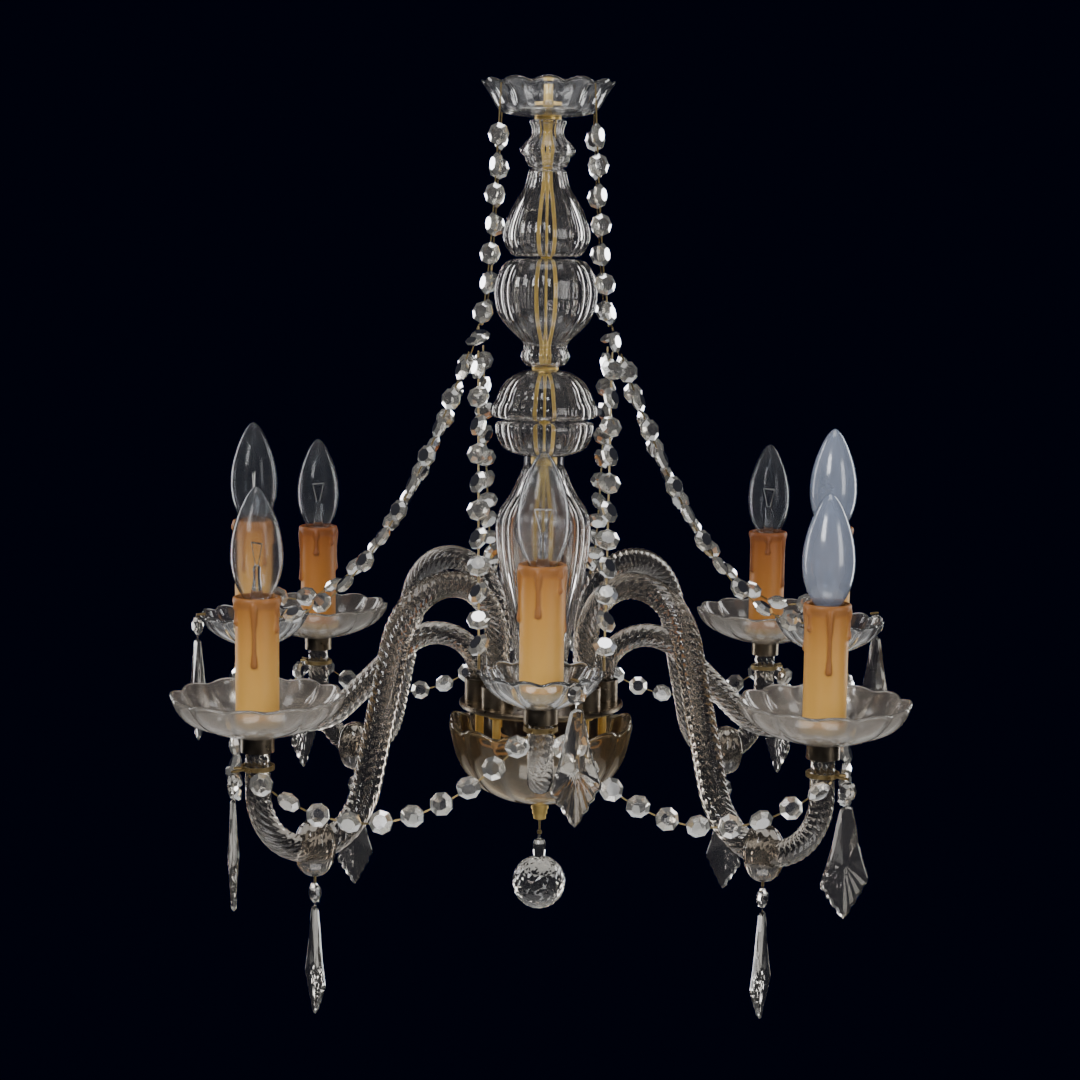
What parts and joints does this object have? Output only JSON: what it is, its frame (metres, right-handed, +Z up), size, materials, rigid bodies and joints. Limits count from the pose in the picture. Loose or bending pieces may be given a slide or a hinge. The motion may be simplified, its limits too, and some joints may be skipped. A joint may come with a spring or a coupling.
{
  "type": "crystal chandelier",
  "caption": "Hanging glass chandelier: twisted glass arms on a baluster stem carry candle lamps in petalled dishes, hung with bead strands and cut drops.",
  "frame": {"origin": "on the stem axis, half way along the threaded top end of the stem, where the fitting that hangs the chandelier screws on", "axes": "+Z up along the stem, -Y towards the front short arm, +X towards the right short arm"},
  "size_m": [0.5162, 0.5162, 0.6332],
  "materials": {
    "brass": "polished, a little dull",
    "stem_glass": "clear pressed glass, slightly smoky",
    "arm_glass": "clear twisted glass, slightly smoky",
    "frosted_glass": "frosted",
    "crystal": "cut and polished",
    "bulb_clear": "clear thin glass",
    "bulb_frosted": "pearl",
    "wax_sleeve": "amber candle sleeve with drips",
    "holder_plastic": "moulded",
    "wire_cover": "lamp wire cover",
    "plated_wire": "bent wire"
  },
  "bodies": {
    "frame": {"arm_caps": "brass", "arm_ferrules": "brass", "arm_nipples": "brass", "arm_plate": "brass", "bowl_nut": "brass", "candle_cups": "brass", "candle_sleeves": "wax_sleeve", "crown_dish": "stem_glass", "dome_cup": "stem_glass", "drop_hooks": "plated_wire", "finial_hook": "plated_wire", "globe_baluster": "stem_glass", "lamp_wires": "wire_cover", "lampholders": "holder_plastic", "large_dishes": "frosted_glass", "limb_collars": "plated_wire", "lock_nuts": "brass", "long_arm_back_left": "arm_glass", "long_arm_back_right": "arm_glass", "long_arm_front_left": "arm_glass", "long_arm_front_right": "arm_glass", "neck_baluster": "stem_glass", "pear_baluster": "stem_glass", "receiver_bowl": "frosted_glass", "saucer_cup": "stem_glass", "seat_washers": "brass", "short_arm_back": "arm_glass", "short_arm_front": "arm_glass", "short_arm_left": "arm_glass", "short_arm_right": "arm_glass", "small_dishes": "stem_glass", "stem_tube": "brass", "strand_pins": "plated_wire", "swags": "crystal", "upper_strands": "crystal", "vase_baluster": "stem_glass"},
    "bulb_back": {"bulb_back": "bulb_clear"},
    "bulb_back_left": {"bulb_back_left": "bulb_clear"},
    "bulb_back_right": {"bulb_back_right": "bulb_clear"},
    "bulb_front": {"bulb_front": "bulb_clear"},
    "bulb_front_left": {"bulb_front_left": "bulb_clear"},
    "bulb_front_right": {"bulb_front_right": "bulb_frosted"},
    "bulb_left": {"bulb_left": "bulb_clear"},
    "bulb_right": {"bulb_right": "bulb_frosted"},
    "collar_drop_back_left": {"collar_drop_back_left": "crystal"},
    "collar_drop_back_right": {"collar_drop_back_right": "crystal"},
    "collar_drop_front_left": {"collar_drop_front_left": "crystal"},
    "collar_drop_front_right": {"collar_drop_front_right": "crystal"},
    "finial_ball": {"finial_ball": "crystal"},
    "knop_drop_back_left": {"knop_drop_back_left": "crystal"},
    "knop_drop_back_right": {"knop_drop_back_right": "crystal"},
    "knop_drop_front_left": {"knop_drop_front_left": "crystal"},
    "knop_drop_front_right": {"knop_drop_front_right": "crystal"},
    "rim_drop_back": {"rim_drop_back": "crystal"},
    "rim_drop_front": {"rim_drop_front": "crystal"},
    "rim_drop_left": {"rim_drop_left": "crystal"},
    "rim_drop_right": {"rim_drop_right": "crystal"}
  },
  "joints": [
    {"name": "bulb_back_lift", "type": "slide", "parent": "frame", "child": "bulb_back", "axis": [0, 0, 1], "range_m": [0, 0.03]},
    {"name": "bulb_back_left_lift", "type": "slide", "parent": "frame", "child": "bulb_back_left", "axis": [0, 0, 1], "range_m": [0, 0.03]},
    {"name": "bulb_back_right_lift", "type": "slide", "parent": "frame", "child": "bulb_back_right", "axis": [0, 0, 1], "range_m": [0, 0.03]},
    {"name": "bulb_front_lift", "type": "slide", "parent": "frame", "child": "bulb_front", "axis": [0, 0, 1], "range_m": [0, 0.03]},
    {"name": "bulb_front_left_lift", "type": "slide", "parent": "frame", "child": "bulb_front_left", "axis": [0, 0, 1], "range_m": [0, 0.03]},
    {"name": "bulb_front_right_lift", "type": "slide", "parent": "frame", "child": "bulb_front_right", "axis": [0, 0, 1], "range_m": [0, 0.03]},
    {"name": "bulb_left_lift", "type": "slide", "parent": "frame", "child": "bulb_left", "axis": [0, 0, 1], "range_m": [0, 0.03]},
    {"name": "bulb_right_lift", "type": "slide", "parent": "frame", "child": "bulb_right", "axis": [0, 0, 1], "range_m": [0, 0.03]},
    {"name": "collar_drop_back_left_swing", "type": "hinge", "parent": "frame", "child": "collar_drop_back_left", "pos_m": [-0.19728, 0.19728, -0.4474], "axis": [0.7071, 0.7071, 0], "range_deg": [-5, 30]},
    {"name": "collar_drop_back_right_swing", "type": "hinge", "parent": "frame", "child": "collar_drop_back_right", "pos_m": [0.19728, 0.19728, -0.4474], "axis": [0.7071, -0.7071, 0], "range_deg": [-5, 30]},
    {"name": "collar_drop_front_left_swing", "type": "hinge", "parent": "frame", "child": "collar_drop_front_left", "pos_m": [-0.19728, -0.19728, -0.4474], "axis": [-0.7071, 0.7071, 0], "range_deg": [-5, 30]},
    {"name": "collar_drop_front_right_swing", "type": "hinge", "parent": "frame", "child": "collar_drop_front_right", "pos_m": [0.19728, -0.19728, -0.4474], "axis": [-0.7071, -0.7071, 0], "range_deg": [-5, 30]},
    {"name": "finial_ball_swing", "type": "hinge", "parent": "frame", "child": "finial_ball", "pos_m": [0, 0, -0.539], "axis": [1, 0, 0], "range_deg": [-20, 20]},
    {"name": "knop_drop_back_left_swing", "type": "hinge", "parent": "frame", "child": "knop_drop_back_left", "pos_m": [-0.14991, 0.14991, -0.533], "axis": [0.7071, 0.7071, 0], "range_deg": [-25, 25]},
    {"name": "knop_drop_back_right_swing", "type": "hinge", "parent": "frame", "child": "knop_drop_back_right", "pos_m": [0.14991, 0.14991, -0.533], "axis": [0.7071, -0.7071, 0], "range_deg": [-25, 25]},
    {"name": "knop_drop_front_left_swing", "type": "hinge", "parent": "frame", "child": "knop_drop_front_left", "pos_m": [-0.14991, -0.14991, -0.533], "axis": [-0.7071, 0.7071, 0], "range_deg": [-25, 25]},
    {"name": "knop_drop_front_right_swing", "type": "hinge", "parent": "frame", "child": "knop_drop_front_right", "pos_m": [0.14991, -0.14991, -0.533], "axis": [-0.7071, -0.7071, 0], "range_deg": [-25, 25]},
    {"name": "rim_drop_back_swing", "type": "hinge", "parent": "frame", "child": "rim_drop_back", "pos_m": [-0.022, 0.24811, -0.375], "axis": [0.866, 0.5, 0], "range_deg": [-10, 30]},
    {"name": "rim_drop_front_swing", "type": "hinge", "parent": "frame", "child": "rim_drop_front", "pos_m": [0.022, -0.24811, -0.375], "axis": [-0.866, -0.5, 0], "range_deg": [-10, 30]},
    {"name": "rim_drop_left_swing", "type": "hinge", "parent": "frame", "child": "rim_drop_left", "pos_m": [-0.24811, -0.022, -0.375], "axis": [-0.5, 0.866, 0], "range_deg": [-10, 30]},
    {"name": "rim_drop_right_swing", "type": "hinge", "parent": "frame", "child": "rim_drop_right", "pos_m": [0.24811, 0.022, -0.375], "axis": [0.5, -0.866, 0], "range_deg": [-10, 30]}
  ]
}
